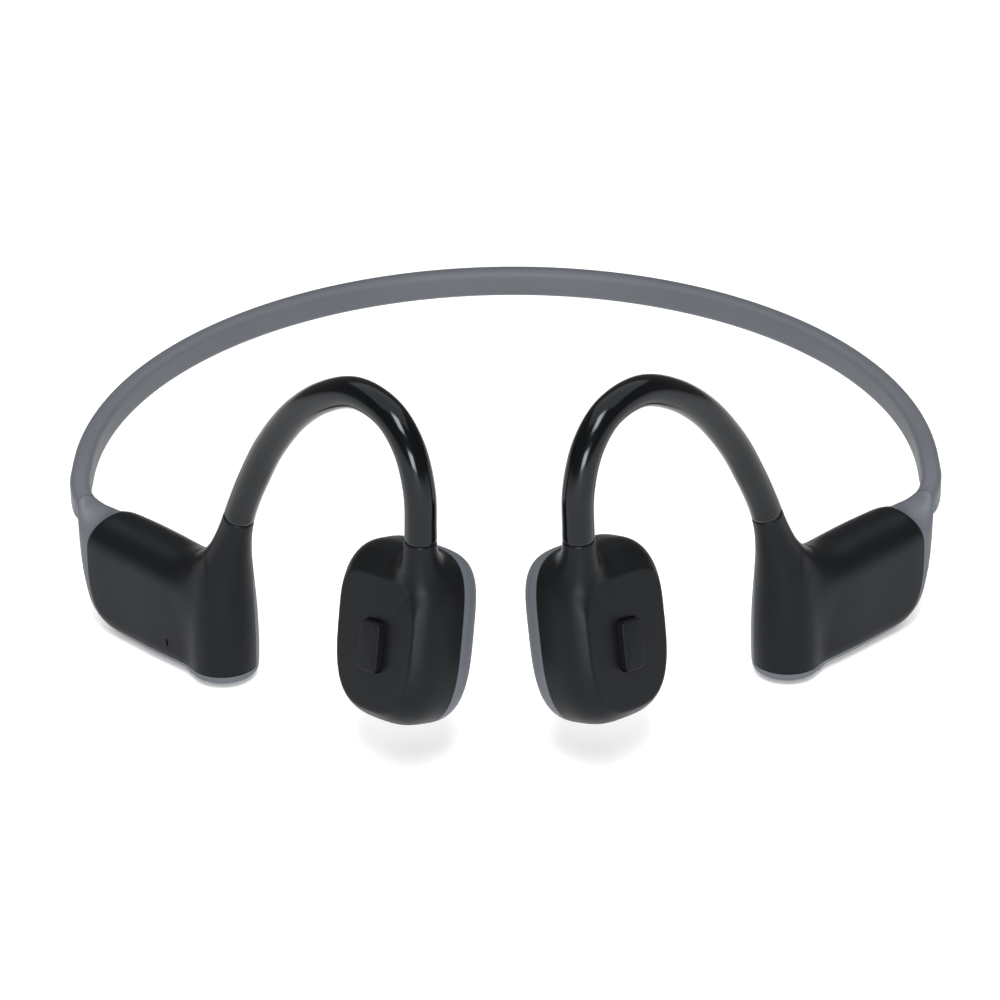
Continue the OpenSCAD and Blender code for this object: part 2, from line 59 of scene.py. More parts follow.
HOOK = np.array([[28.1, -18.9, 4.4], [28.1, -18.1, 4.95], [28.1, -15, 5.15], [28.3, -10, 5.05], [28.8, -5.5, 4.6], [29.8, -1.5, 3.8], [31.0, 2, 2.95], [32.2, 5.4, HR + 0.2],
                 [33.9, 9.6, HR], [36.6, 14.8, HR], [40.4, 21.0, HR], [45.8, 27.4, HR], [52.0, 32.2, HR], [58.6, 34.9, HR],
                 [64.7, 34.0, HR], [68.6, 30.2, HR], [70.4, 24.6, HR], [70.5, 18.8, HR], [70.3, 15.4, HR + 0.15], [70.2, 12.0, 2.8], [70.1, 8.6, 3.4]])
S0, S1 = 7.55, 17.4
HOUSE = np.array([[0.93, 2.3, 8, -3.67, 0.73, 1.5], [1.6, 2.2, 6, -5.6, 0.1, 2.1], [2.3, 1.8, 3, -9.6, -0.75, 3.0], [3.1, 1.3, 0, -13.4, -1.35, 3.8], [4.3, 0.9, 0, -16.6, -1.7, 4.3],
                  [6.2, 0.5, 0, -18.4, -1.4, 4.7], [9.0, 0.2, 0, -19.2, -1.5, 4.9], [13, 0, 0, -19.5, -1.6, 5.0], [18, 0, 0, -19.5, -1.7, 5.0], [23, 0, 0, -19.4, -1.9, 4.8], [27.5, 0, 0, -19.2, -2.6, 4.5],
                  [29.5, 0, 0, -18.8, -4.0, 4.0]])
POD_C = np.array([65.9, -1.2, 2.5])
TILT, LEAN = math.radians(8), math.radians(20)
POD_HU, POD_TOP, POD_LOW = 9.5, 11.2, 13.6
POD_OUT, POD_IN = 5.8, -5.8
BTN = (0.1, -2.4)
BTN_W, BTN_L, BTN_PROUD = 3.8, 7.0, 1.2


def rot(axis, a):
    axis = np.asarray(axis, float) / np.linalg.norm(axis)
    c, s = math.cos(a), math.sin(a)
    x, y, z = axis
    return np.array([[c + x * x * (1 - c), x * y * (1 - c) - z * s, x * z * (1 - c) + y * s],
                     [y * x * (1 - c) + z * s, c + y * y * (1 - c), y * z * (1 - c) - x * s],
                     [z * x * (1 - c) - y * s, z * y * (1 - c) + x * s, c + z * z * (1 - c)]])


R_ARM = rot((0, 0, 1), YAW)
R_POD = rot((1, -1, 0), LEAN) @ rot((0, 1, 0), TILT)


def arm(p, side=1):
    q = np.asarray(p, float) @ R_ARM.T + J
    return q * np.array([side, 1, 1])


def pod(p, side=1):
    return arm(np.asarray(p, float) @ R_POD.T + POD_C, side)


def cr(p0, p1, p2, p3, t):
    return 0.5 * (2 * p1 + (p2 - p0) * t + (2 * p0 - 5 * p1 + 4 * p2 - p3) * t * t + (3 * p1 - p0 - 3 * p2 + p3) * t ** 3)


def at(p, s):
    n = len(p) - 1
    i = min(n - 1, max(0, int(math.floor(s))))
    return cr(p[i - 1] if i > 0 else 2 * p[0] - p[1], p[i], p[i + 1], p[i + 2] if i < n - 1 else 2 * p[n] - p[n - 1], s - i)


def unit(v):
    return v / np.linalg.norm(v)


# ------------------------------------------------------------------ meshes
def mesh_object(name, verts, faces, side=1):
    me = bpy.data.meshes.new(name)
    me.from_pydata([tuple(v) for v in verts], [], [tuple(f) if side > 0 else tuple(reversed(f)) for f in faces])
    me.update()
    o = bpy.data.objects.new(name, me)
    bpy.context.collection.objects.link(o)
    return o


def loft(rings, cap=True):
    """Rings of equal length, each turning the same way about the direction of travel."""
    n, k = len(rings[0]), len(rings)
    v = np.concatenate([np.asarray(r) for r in rings])
    f = []
    for j in range(k - 1):
        for i in range(n):
            i2 = (i + 1) % n
            f.append((j * n + i, j * n + i2, (j + 1) * n + i2, (j + 1) * n + i))
    if cap:
        for j, flip in ((0, True), (k - 1, False)):
            c = len(v)
            v = np.vstack([v, v[j * n:(j + 1) * n].mean(0)])
            for i in range(n):
                i2 = (i + 1) % n
                f.append((j * n + i2, j * n + i, c) if flip else (j * n + i, j * n + i2, c))
    return v, f


def evaluated(o):
    dg = bpy.context.evaluated_depsgraph_get()
    dg.update()
    me = bpy.data.meshes.new_from_object(o.evaluated_get(dg), depsgraph=dg)
    old = o.data
    o.modifiers.clear()
    o.data = me
    bpy.data.meshes.remove(old)
    return o


def boolean(o, cutter, op):
    m = o.modifiers.new("b", "BOOLEAN")
    m.operation = op
    m.object = cutter
    m.solver = "MANIFOLD"
    return evaluated(o)


def copy(o, name):
    c = o.copy()
    c.data = o.data.copy()
    c.name = name
    bpy.context.collection.objects.link(c)
    return c


def drop(*objs):
    for o in objs:
        bpy.data.objects.remove(o, do_unlink=True)


def remesh(o, size, smooth, factor=0.5):
    m = o.modifiers.new("r", "REMESH")
    m.mode = "VOXEL"
    m.voxel_size = size
    m.adaptivity = 0
    s = o.modifiers.new("s", "SMOOTH")
    s.factor = factor
    s.iterations = smooth
    return evaluated(o)


def join(name, parts):
    v, f, n = [], [], 0
    for a, b in parts:
        v.append(np.asarray(a))
        f += [tuple(i + n for i in q) for q in b]
        n += len(a)
    return np.concatenate(v), f


def rounded(a, b, r, m):
    return [((1 if c in (0, 3) else -1) * (a - r) + r * math.cos(math.radians(90 * c + 90 * i / m)),
             (1 if c < 2 else -1) * (b - r) + r * math.sin(math.radians(90 * c + 90 * i / m))) for c in range(4) for i in range(m + 1)]


def section(a, lo, hi, t, l, m):
    out = []
    for c, (cx, cy, r) in enumerate(((a - t, hi - t, t), (-a + t, hi - t, t), (-a + l, lo + l, l), (a - l, lo + l, l))):
        for i in range(m + 1):
            g = math.radians(90 * c + 90 * i / m)
            out.append((cx + r * math.cos(g), cy + r * math.sin(g)))
    return out


def house_rings(s0, s1, m, less, k=8, grow=0.0):
    out = []
    for i in range(m + 1):
        p = at(HOUSE, s0 + (s1 - s0) * i / m)
        hn, lo, hi = max(0.5, p[5] - less), p[3] + less, p[4] - less
        t, l = min(hn * 0.92, (hi - lo) * 0.48), min(hn * 0.62, (hi - lo) * 0.48)
        s, c = math.sin(math.radians(p[2])), math.cos(math.radians(p[2]))
        out.append(np.array([[p[0] - q[0] * s, p[1] + q[0] * c, q[1]] for q in section(hn, lo, hi, t, l, k)]))
    return out


def hook_frame(s):
    p = at(HOOK, s)
    d = at(HOOK, s + 0.02)[:2] - at(HOOK, s - 0.02)[:2]
    d = d / np.linalg.norm(d)
    return p, d


def hook_rings(s0, s1, m, k, r=None, less=0.0, dy=0.0):
    out = []
    for i in range(m + 1):
        p, d = hook_frame(s0 + (s1 - s0) * i / m)
        rad = (p[2] if r is None else r) - less
        g = np.arange(k) * 2 * math.pi / k
        out.append(np.stack([p[0] - d[1] * rad * np.sin(g), dy + rad * np.cos(g), p[1] + d[0] * rad * np.sin(g)], 1))
    return out


def se(p, q):
    c, s = math.cos(q), math.sin(q)
    return math.copysign(abs(c) ** (2 / p), c), math.copysign(abs(s) ** (2 / p), s)


def pod_ring(less, y, k=96, up=0.0):
    out = []
    for i in range(k):
        q = 2 * math.pi * (i + 0.5) / k
        e = se(4 if q < math.pi else 3, q)
        out.append((e[0] * (POD_HU - less), y, e[1] * (POD_TOP - less - up) if e[1] > 0 else e[1] * (POD_LOW - less)))
    return np.array(out[::-1])


def finish_piece(o, name, mat, body, replaces=(), smooth=38, scale=True):
    o.name = name
    if scale:
        o.data.transform(Matrix.Scale(0.001, 4))
    o.data.materials.clear()
    for x in (mat if isinstance(mat, (list, tuple)) else [mat]):
        o.data.materials.append(x)
    for p in o.data.polygons:
        p.use_smooth = True
    if smooth:
        sharp(o, smooth)
    if replaces:
        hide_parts(*replaces)
    if body:
        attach(o, body)
    return o


def sharp(o, degrees):
    bm = bmesh.new()
    bm.from_mesh(o.data)
    lim = math.radians(degrees)
    for e in bm.edges:
        if len(e.link_faces) == 2:
            e.smooth = e.calc_face_angle(0) < lim
    bm.to_mesh(o.data)
    bm.free()


def mirrored(o, name):
    c = copy(o, name)
    bm = bmesh.new()
    bm.from_mesh(c.data)
    for v in bm.verts:
        v.co.x = -v.co.x
    bmesh.ops.reverse_faces(bm, faces=bm.faces)
    bm.to_mesh(c.data)
    bm.free()
    return c


# ------------------------------------------------------------------ materials
def material(name, color, rough, metal=0.0, coat=0.0, coat_rough=0.1, spec=0.5, grain=0.0, grain_size=2600, mottle=0.0, smudge=0.0, sheen=0.0, ior=1.46, scratch=0.0, tint=(1.0, 1.0, 1.0)):
    m = bpy.data.materials.new(name)
    m.use_nodes = True
    nt = m.node_tree
    nt.nodes.clear()
    out = nt.nodes.new("ShaderNodeOutputMaterial")
    b = nt.nodes.new("ShaderNodeBsdfPrincipled")
    nt.links.new(b.outputs[0], out.inputs[0])
    b.inputs["Base Color"].default_value = (*color, 1)
    b.inputs["Metallic"].default_value = metal
    b.inputs["Roughness"].default_value = rough
    b.inputs["IOR"].default_value = ior
    b.inputs["Specular IOR Level"].default_value = spec
    b.inputs["Specular Tint"].default_value = (*tint, 1)
    b.inputs["Coat Weight"].default_value = coat
    b.inputs["Coat Roughness"].default_value = coat_rough
    b.inputs["Sheen Weight"].default_value = sheen
    tc = nt.nodes.new("ShaderNodeTexCoord")
    if mottle or smudge:
        n = nt.nodes.new("ShaderNodeTexNoise")
        n.inputs["Scale"].default_value = 120
        n.inputs["Detail"].default_value = 5
        n.inputs["Roughness"].default_value = 0.6
        nt.links.new(tc.outputs["Object"], n.inputs["Vector"])
        if smudge:
            r = nt.nodes.new("ShaderNodeMapRange")
            r.inputs["From Min"].default_value = 0.3
            r.inputs["From Max"].default_value = 0.75
            r.inputs["To Min"].default_value = rough - smudge * 0.5
            r.inputs["To Max"].default_value = rough + smudge
            nt.links.new(n.outputs[0], r.inputs[0])
            nt.links.new(r.outputs[0], b.inputs["Roughness"])
        if mottle:
            n2 = nt.nodes.new("ShaderNodeTexNoise")
            n2.inputs["Scale"].default_value = 45
            n2.inputs["Detail"].default_value = 3
            nt.links.new(tc.outputs["Object"], n2.inputs["Vector"])
            mx = nt.nodes.new("ShaderNodeMix")
            mx.data_type = "RGBA"
            mx.inputs[6].default_value = (*[c * (1 - mottle) for c in color], 1)
            mx.inputs[7].default_value = (*[min(1, c * (1 + mottle)) for c in color], 1)
            nt.links.new(n2.outputs[0], mx.inputs[0])
            nt.links.new(mx.outputs[2], b.inputs["Base Color"])
    if grain or scratch:
        bump = nt.nodes.new("ShaderNodeBump")
        bump.inputs["Strength"].default_value = grain if grain else scratch
        bump.inputs["Distance"].default_value = 0.00004
        if grain:
            g = nt.nodes.new("ShaderNodeTexNoise")
            g.inputs["Scale"].default_value = grain_size
            g.inputs["Detail"].default_value = 2
            nt.links.new(tc.outputs["Object"], g.inputs["Vector"])
            nt.links.new(g.outputs[0], bump.inputs["Height"])
        nt.links.new(bump.outputs[0], b.inputs["Normal"])
    return m


M = {
    "black": material("satin_black", (0.0048, 0.0051, 0.0058), 0.38, spec=0.145, tint=(0.80, 0.90, 1.0), grain=0.22, grain_size=3200, mottle=0.10, smudge=0.07),
    "face": material("satin_black_face", (0.0048, 0.0050, 0.0058), 0.46, spec=0.13, tint=(0.80, 0.90, 1.0), grain=0.30, grain_size=3600, mottle=0.10, smudge=0.05),
    "grey": material("satin_grey", (0.079, 0.086, 0.099), 0.50, spec=0.35, grain=0.18, grain_size=3000, mottle=0.06, smudge=0.05),
    "band": material("band_silicone", (0.078, 0.085, 0.097), 0.50, spec=0.35, grain=0.20, grain_size=2600, mottle=0.05, smudge=0.06, sheen=0.05),
    "hook": material("gloss_silicone", (0.0015, 0.0016, 0.0019), 0.15, spec=0.30, tint=(0.85, 0.93, 1.0), mottle=0.08, smudge=0.05, grain=0.05, grain_size=1500),
    "pad": material("soft_pad", (0.030, 0.032, 0.036), 0.62, grain=0.3, mottle=0.06, smudge=0.05),
    "gap": material("dark_gap", (0.002, 0.002, 0.002), 0.8),
    "steel": material("steel", (0.50, 0.50, 0.52), 0.32, metal=1, smudge=0.08),
    "tin": material("tin_plate", (0.68, 0.68, 0.70), 0.28, metal=1, smudge=0.08),
    "nickel": material("nickel", (0.62, 0.60, 0.56), 0.22, metal=1, smudge=0.06),
    "gold": material("gold_plate", (0.83, 0.61, 0.26), 0.22, metal=1, smudge=0.06),
    "copper": material("copper_wire", (0.72, 0.33, 0.15), 0.35, metal=1, smudge=0.08),
    "bronze": material("spring_bronze", (0.66, 0.50, 0.28), 0.3, metal=1, smudge=0.08),
    "board": material("solder_mask", (0.012, 0.085, 0.035), 0.35, mottle=0.12, smudge=0.05),
    "chip": material("chip_black", (0.02, 0.02, 0.021), 0.55, mottle=0.05),
    "foil": material("cell_foil", (0.62, 0.63, 0.65), 0.35, metal=1, grain=0.5, grain_size=500, smudge=0.1),
    "foam": material("foam", (0.02, 0.02, 0.022), 0.9, grain=0.8, grain_size=1500),
    "jacket": material("cable_jacket", (0.02, 0.02, 0.022), 0.5, smudge=0.05),
    "lens": material("light_pipe", (0.75, 0.80, 0.85), 0.15, spec=0.5, smudge=0.04),
    "floor": material("floor", (0.93, 0.93, 0.93), 0.9, spec=0.1),
}
# a lit table, so that the shadows stay faint
table = M["floor"].node_tree.nodes["Principled BSDF"]
table.inputs["Emission Color"].default_value = (1, 1, 1, 1)
table.inputs["Emission Strength"].default_value = 0.22

# ------------------------------------------------------------------ rear band
def band_p(t):
    t = math.radians(t)
    x, y = A * math.sin(t), BAND_Y0 + B * math.cos(t)
    return np.array([x, y, J[2] + RISE * (y - J[1])])


def tail_p(s):
    p = at(TAIL, s)
    return np.array([p[0], p[1] - Y_MID, p[2] + J[2]])


def along_band(m1, m2, end=TAIL_END):
    return [band_p(88.5 * i / m1) for i in range(m1 + 1)] + [tail_p(0.55 + (end - 0.55) * i / m2) for i in range(1, m2 + 1)]


def sweep(line, sec, off=(0, 0)):
    rings = []
    for i, c in enumerate(line):
        d = unit(line[min(i + 1, len(line) - 1)] - line[max(i - 1, 0)])
        b = unit(np.array([0, 0, 1.0]) - d[2] * d)
        n = np.cross(b, d)
        rings.append(np.array([c + (q[0] + off[0]) * n + (q[1] + off[1]) * b for q in sec]))
    return rings


band_line = along_band(110, 22)
# the first ring lies in the plane x = 0, so that the two halves meet without a step
band_line[0] = band_p(0)
sec = rounded(BAND_T / 2, BAND_H / 2, 1.15, 8)
rings = sweep([np.array([-0.001, band_line[0][1], band_line[0][2]])] + band_line[1:], sec)
rings[0][:, 0] = 0
last = rings[-1]
# the end is drawn in a little, where the skin meets the neck
mid = last.mean(0)
rings[-1] = mid + (last - mid) * 0.985
v, f = loft(rings, cap=True)
for side, nm in ((1, "left"), (-1, "right")):
    o = mesh_object("band_skin_" + nm, v * np.array([side, 1, 1]), f, side)
    finish_piece(o, "band_skin_" + nm, M["band"], None, ("headband_sleeve_" + nm, "headband_sleeve_centre"), smooth=50)
    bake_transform(o)

wire_line = along_band(60, 14, 2.48)
cable_route = {"left": [[1.6, 2.35, -2.5], [2.8, 2.0, -3.3], [5, 1.3, -3.8], [9, 0.7, -3.95], [16, 0.5, -3.95], [23, 0.5, -4.1], [26.6, 0.4, -4.6]],
               "right": [[1.6, 2.35, -2.5], [2.8, 2.1, -3.5], [4.8, 1.7, -5.1], [7.2, 1.3, -6.8], [9.4, 1.15, -7.7], [11.6, 1.1, -7.9]]}
circle = [(math.cos(2 * math.pi * i / 12), math.sin(2 * math.pi * i / 12)) for i in range(12)]
for side, nm in ((1, "left"), (-1, "right")):
    rings = sweep(wire_line, [(0.42 * a, 0.42 * b) for a, b in circle], (0, 0.5))
    rings[0][:, 0] = 0
    v, f = loft(rings)
    o = mesh_object("band_wire_" + nm, v * np.array([side, 1, 1]), f, side)
    finish_piece(o, "band_wire_" + nm, M["nickel"], None, ("headband_wire",))
    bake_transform(o)
    pts = [p - np.array([0, 0, 0.65]) for p in wire_line] + list(arm(np.array(cable_route[nm])))
    ctrl = np.array(pts[-9:])
    pts = pts[:-8] + [at(ctrl, 1 + 7 * i / 36) for i in range(1, 37)]
    rings = sweep(pts, [(0.43 * a, 0.43 * b) for a, b in circle])
    rings[0][:, 0] = 0
    v, f = loft(rings)
    o = mesh_object("band_cable_" + nm, v * np.array([side, 1, 1]), f, side)
    finish_piece(o, "band_cable_" + nm, M["jacket"], None, ("headband_cable",))
    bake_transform(o)

# ------------------------------------------------------------------ ear hooks
for side, nm in ((1, "left"), (-1, "right")):
    k, m = 40, 220
    rr = hook_rings(S0, S1, m, k)
    # rounded lips at both ends of the sleeve
    lips0 = [arm(r) for r in hook_rings(S0 - 0.004, S0 - 0.002, 1, k, less=0.35)]
    lips1 = [arm(r) for r in hook_rings(S1 + 0.002, S1 + 0.004, 1, k, less=0.35)]
    rings = [arm(r) for r in rr]
    for j, lessen in ((0, 0.16), (1, 0.05), (2, 0.0)):
        c = rings[j].mean(0); rr0 = HR + 0.2
        rings[j] = c + (rings[j] - c) * (1 - lessen / rr0)
        c = rings[-1 - j].mean(0)
        rings[-1 - j] = c + (rings[-1 - j] - c) * (1 - lessen / rr0)
    v, f = loft(lips0[:1] + rings + lips1[1:])
    o = mesh_object("hook_skin_" + nm, v * np.array([side, 1, 1]), f, side)
    finish_piece(o, "hook_skin_" + nm, M["hook"], "arm_" + nm, ("ear_hook_sleeve_" + nm,), smooth=50)
    nt = 90
    v, f = loft([arm(r) for r in hook_rings(6.2, 18.6, nt, 12, 0.43, dy=0.65)])
    o = mesh_object("hook_wire_" + nm, v * np.array([side, 1, 1]), f, side)
    finish_piece(o, "hook_core_wire_" + nm, M["nickel"], "arm_" + nm, ("ear_hook_wire_" + nm,))

# ------------------------------------------------------------------ housings
def prism_zone(g, side_all=True):
    """The rear outline of the part of a housing that the outer shell covers, grown inwards by g, as points in the arm's
    x and z.
    """
    pts = []
    for i in range(65):
        q = math.pi / 2 + math.pi * i / 64
        c, s = math.cos(q), math.sin(q)
        e = 2 / 3 if s > 0 else 2 / 2.5
        pts.append((19.0 + (14.8 - g) * math.copysign(abs(c) ** e, c), -9.3 + (12.2 - g * 0.5 if s > 0 else 11) * math.copysign(abs(s) ** e, s)))
    return pts


def extrude(poly, y0, y1):
    n = len(poly)
    v = [(p[0], y0, p[1]) for p in poly] + [(p[0], y1, p[1]) for p in poly]
    f = [tuple(range(n)), tuple(range(2 * n - 1, n - 1, -1))] + [((i + 1) % n, i, n + i, n + (i + 1) % n) for i in range(n)]
    return v, f


def solid(name, v, f, local=arm, side=1):
    o = mesh_object(name, local(np.array(v, float)), f)
    bm = bmesh.new()
    bm.from_mesh(o.data)
    bmesh.ops.recalc_face_normals(bm, faces=bm.faces)
    if bm.calc_volume(signed=True) < 0:
        bmesh.ops.reverse_faces(bm, faces=bm.faces)
    bm.to_mesh(o.data)
    bm.free()
    return o


def cuboid(name, lo, hi, local=arm):
    x0, y0, z0 = lo
    x1, y1, z1 = hi
    v = [(x, y, z) for x in (x0, x1) for y in (y0, y1) for z in (z0, z1)]
    return solid(name, v, [(0, 1, 3, 2), (4, 6, 7, 5), (0, 4, 5, 1), (2, 3, 7, 6), (0, 2, 6, 4), (1, 5, 7, 3)], local)


def rod(name, p0, p1, r, local=arm, k=32, r2=None):
    p0, p1 = np.array(p0, float), np.array(p1, float)
    d = unit(p1 - p0)
    a = unit(np.cross(d, [1, 0, 0] if abs(d[0]) < 0.9 else [0, 1, 0]))
    b = np.cross(d, a)
    g = np.arange(k) * 2 * math.pi / k
    rings = [c + rad * (np.outer(np.cos(g), a) + np.outer(np.sin(g), b)) for c, rad in ((p0, r), (p1, r if r2 is None else r2))]
    v, f = loft(rings)
    return solid(name, v, f, local)


def slab_mesh(x, z, r, y0, y1, k=10, bevel=0.0, steps=4, both=False):
    """A rounded rectangle in x and z between y0 and y1, its y1 edge rounded by bevel."""
    rings = []
    prof = []
    if both and bevel:
        for i in range(steps + 1):
            a = math.pi / 2 * i / steps
            prof.append((y0 + bevel - bevel * math.cos(a), bevel * (1 - math.sin(a))))
    else:
        prof.append((y0, 0.0))
    if bevel:
        for i in range(steps + 1):
            a = math.pi / 2 * i / steps
            prof.append((y1 - bevel + bevel * math.sin(a), bevel * (1 - math.cos(a))))
    else:
        prof.append((y1, 0.0))
    for y, less in prof:
        q = rounded(x / 2 - less, z / 2 - less, max(0.05, r - less), k)
        rings.append(np.array([(a, y, b) for a, b in q[::-1]]))
    return loft(rings)


def tube_distance(p, s0, s1, n=160):
    """Signed distance from points (in arm axes) to the hook's round section between two places on its line, and its direction."""
    ss = np.linspace(s0, s1, n)
    c = np.array([[at(HOOK, s)[0], 0.0, at(HOOK, s)[1], at(HOOK, s)[2]] for s in ss])
    a, b = c[:-1], c[1:]
    ab = b[:, :3] - a[:, :3]
    l2 = (ab ** 2).sum(1)
    out, way = np.empty(len(p)), np.empty((len(p), 3))
    for i in range(0, len(p), 4000):
        q = p[i:i + 4000]
        t = np.clip(((q[:, None, :] - a[None, :, :3]) * ab[None]).sum(2) / l2, 0, 1)
        r = a[None, :, 3] + t * (b[:, 3] - a[:, 3])[None]
        off = q[:, None, :] - (a[None, :, :3] + t[..., None] * ab[None])
        dist = np.linalg.norm(off, axis=2) - r
        best = dist.argmin(1)
        row = np.arange(len(q))
        out[i:i + 4000] = dist[row, best]
        way[i:i + 4000] = off[row, best] / np.maximum(np.linalg.norm(off[row, best], axis=1), 1e-9)[:, None]
    if s0 == 0:
        # the stretch that starts at the housing's floor ends flat
        out = np.maximum(out, HOOK[0][1] - p[:, 2])
    return out, way


def smooth_union(name, base, tube, size, width, smooth):
    """The base mesh and a stretch of the hook's tube as one skin, with a fillet whose width follows the height above the arm's origin."""
    s0, s1, _ = tube
    tv, tf = loft(hook_rings(s0, s1, 100, 48))
    v, f = join("u", [base, (arm(tv), tf)])
    o = mesh_object(name, v, f)
    remesh(o, size, 4, 0.5)
    tree = BVHTree.FromPolygons([Vector(q) for q in base[0]], [tuple(q) for q in base[1]])
    co = np.array([q.co for q in o.data.vertices])

    def base_distance(p, near):
        d, way = np.full(len(p), 9.0), np.zeros((len(p), 3))
        for i in np.nonzero(near)[0]:
            loc, nor, _, dist = tree.find_nearest(Vector(p[i]))
            d[i] = dist if (Vector(p[i]) - loc).dot(nor) > 0 else -dist
            way[i] = nor
        return d, way

    e = np.empty(len(o.data.edges) * 2, np.int32)
    o.data.edges.foreach_get("vertices", e)
    e0, e1 = e.reshape(-1, 2).T
    n = len(co)
    deg = np.maximum(np.bincount(e0, minlength=n) + np.bincount(e1, minlength=n), 1)

    def mean(a):
        if a.ndim == 2:
            return np.stack([mean(a[:, c]) for c in range(a.shape[1])], 1)
        return (np.bincount(e0, a[e1], n) + np.bincount(e1, a[e0], n)) / deg

    def spread(a, times):
        for _ in range(times):
            a = 0.5 * a + 0.5 * mean(a)
        return a

    k = width((co - J)[:, 2])
    w = ((co - J) @ R_ARM)[:, 2]
    low = np.clip((w + 18.2) / 1.2, 0, 1)
    for turn in range(5):
        me = o.data
        nor = np.empty(n * 3, np.float32)
        me.vertices.foreach_get("normal", nor)
        nor = spread(nor.reshape(-1, 3).astype(float), 4)
        nor /= np.maximum(np.linalg.norm(nor, axis=1), 1e-9)[:, None]
        t, tw = tube_distance((co - J) @ R_ARM, s0, s1)
        near = (t < k) & (t > -k)
        b, bw = base_distance(co, near)
        # no fillet where the two skins run side by side
        part = np.clip(1.2 * (1 - ((tw @ R_ARM.T) * bw).sum(1)), 0, 1)
        kk = np.maximum(k * spread(np.where(near, part, 0), 24), 0.05)
        h = np.maximum(kk - np.abs(b - t), 0) / kk
        value = np.minimum(b, t) - h * h * kk * 0.25
        step = np.where(near & (np.abs(b) < k), np.clip(-value, -0.6, 0.6) * np.clip(h * 5, 0, 1), 0)
        co = co + nor * spread(step, 3)[:, None] * 0.85
        soft = spread(np.where(near, np.maximum(np.clip(h * 2, 0, 1), np.clip(1.6 - np.abs(b - t) / 0.7, 0, 1)), 0), 6) * low
        for _ in range(smooth if turn < 4 else smooth * 3):
            co = co + (mean(co) - co) * (soft * 0.6)[:, None]
        me.vertices.foreach_set("co", co.astype(np.float32).ravel())
        me.update()
    m = o.modifiers.new("s", "SMOOTH")
    m.factor = 0.5
    m.iterations = 2
    return evaluated(o)


def fillet_width(w):
    return np.interp(w, [-19, -14, -8, -3, 3, 8], [2.2, 3.2, 5.5, 7.5, 6.5, 4.0])


hr = house_rings(0, len(HOUSE) - 1, 130, 0, 18)
mid = hr[0].mean(0)
# the neck starts a little inside the band's end, so that no step shows
hr = [mid + (hr[0] - mid) * 0.95 - np.array([0.75, 0.08, -0.08])] + [mid + (hr[0] - mid) * 0.99 - np.array([0.25, 0.02, -0.02])] + hr
body_raw = smooth_union("housing_raw", (lambda q: (arm(q[0]), q[1]))(loft(hr)), (0, S0, 0), 0.22, fillet_width, 12)
cav = []
v, f = loft(house_rings(0.9, len(HOUSE) - 1, 40, 1.2, 6))
cav.append(solid("cav1", v, f))
v, f = loft(hook_rings(0.85, S0 - 0.9, 40, 32, less=1.3))
cav.append(solid("cav2", v, f))
cavity = boolean(cav[0], cav[1], "UNION")
drop(cav[1])


def zone(g):
    v, f = extrude(prism_zone(g) + [(60, -20.3), (60, 40), (19.0, 40)], -2.1 + g, 20)
    # polygon: rear curve, then out to the front
    z = solid("zone", v, f)
    a = cuboid("za", (-5, -30, -30), (70, 30, -17.5 + g))
    z = boolean(z, a, "DIFFERENCE")
    b = cuboid("zb", (-1, -20, -30), (22 + g, 0.5 + g, -15 + g))
    z = boolean(z, b, "DIFFERENCE")
    c = cuboid("zc", (24 + g, -12, -3.5 + g), (60, 12, 40))
    z = boolean(z, c, "UNION")
    drop(a, b, c)
    return z


z_out = zone(0.07)
z_in = zone(-0.07)
outer = boolean(copy(body_raw, "outer"), z_out, "INTERSECT")
inner = boolean(copy(body_raw, "inner"), z_in, "DIFFERENCE")
for o in (outer, inner):
    boolean(o, cavity, "DIFFERENCE")
bore = solid("bore", *loft(hook_rings(5.4, S0 + 1, 12, 24, 1.25)))
boolean(outer, bore, "DIFFERENCE")
drop(z_out, z_in, bore, cavity, body_raw)

outer_r = mirrored(outer, "outer_r")
inner_r = mirrored(inner, "inner_r")


def arm_r(p):
    return arm(p, -1)


# microphone slot and the openings on the right housing
slot_cut = solid("slot", *slab_mesh(0.42, 1.15, 0.2, 3.0, 7.0), local=lambda p: arm_r(np.asarray(p) @ rot((0, 1, 0), math.radians(-8)).T + np.array([21.3, 0, -15.2])))
boolean(outer_r, slot_cut, "DIFFERENCE")
drop(slot_cut)
contact_w = -9.5
cut = solid("cut", *slab_mesh(10.4, 5.0, 2.0, -2, 0), local=lambda p: arm_r(np.asarray(p) + np.array([17.8, -4.45, contact_w])))
boolean(inner_r, cut, "DIFFERENCE")
drop(cut)
for x in (15.2, 20.4):
    c = rod("c", (x, -7, contact_w), (x, 0, contact_w), 0.85, arm_r)
    boolean(inner_r, c, "DIFFERENCE")
    drop(c)
for x in (13.6, 21.8):
    c = solid("c", *slab_mesh(5.6, 2.0, 0.98, -2, 2), local=lambda p, x=x: arm_r((np.asarray(p) @ rot((1, 0, 0), math.pi / 2).T) + np.array([x, -0.9, -18.8])))
    boolean(inner_r, c, "DIFFERENCE")
    drop(c)
c = rod("c", (17.7, -0.9, -21), (17.7, -0.9, -16), 0.6, arm_r)
boolean(inner_r, c, "DIFFERENCE")
drop(c)

for o, nm, part in ((outer, "left", "outer"), (outer_r, "right", "outer"), (inner, "left", "inner"), (inner_r, "right", "inner")):
    finish_piece(o, f"housing_{part}_{nm}", M["black" if part == "outer" else "grey"], "arm_" + nm, (f"housing_{part}_shell_{nm}",), smooth=32)

# ------------------------------------------------------------------ pods
def pod_rings(prof):
    return [pod_ring(p[1], p[0], 120, p[2]) for p in prof]


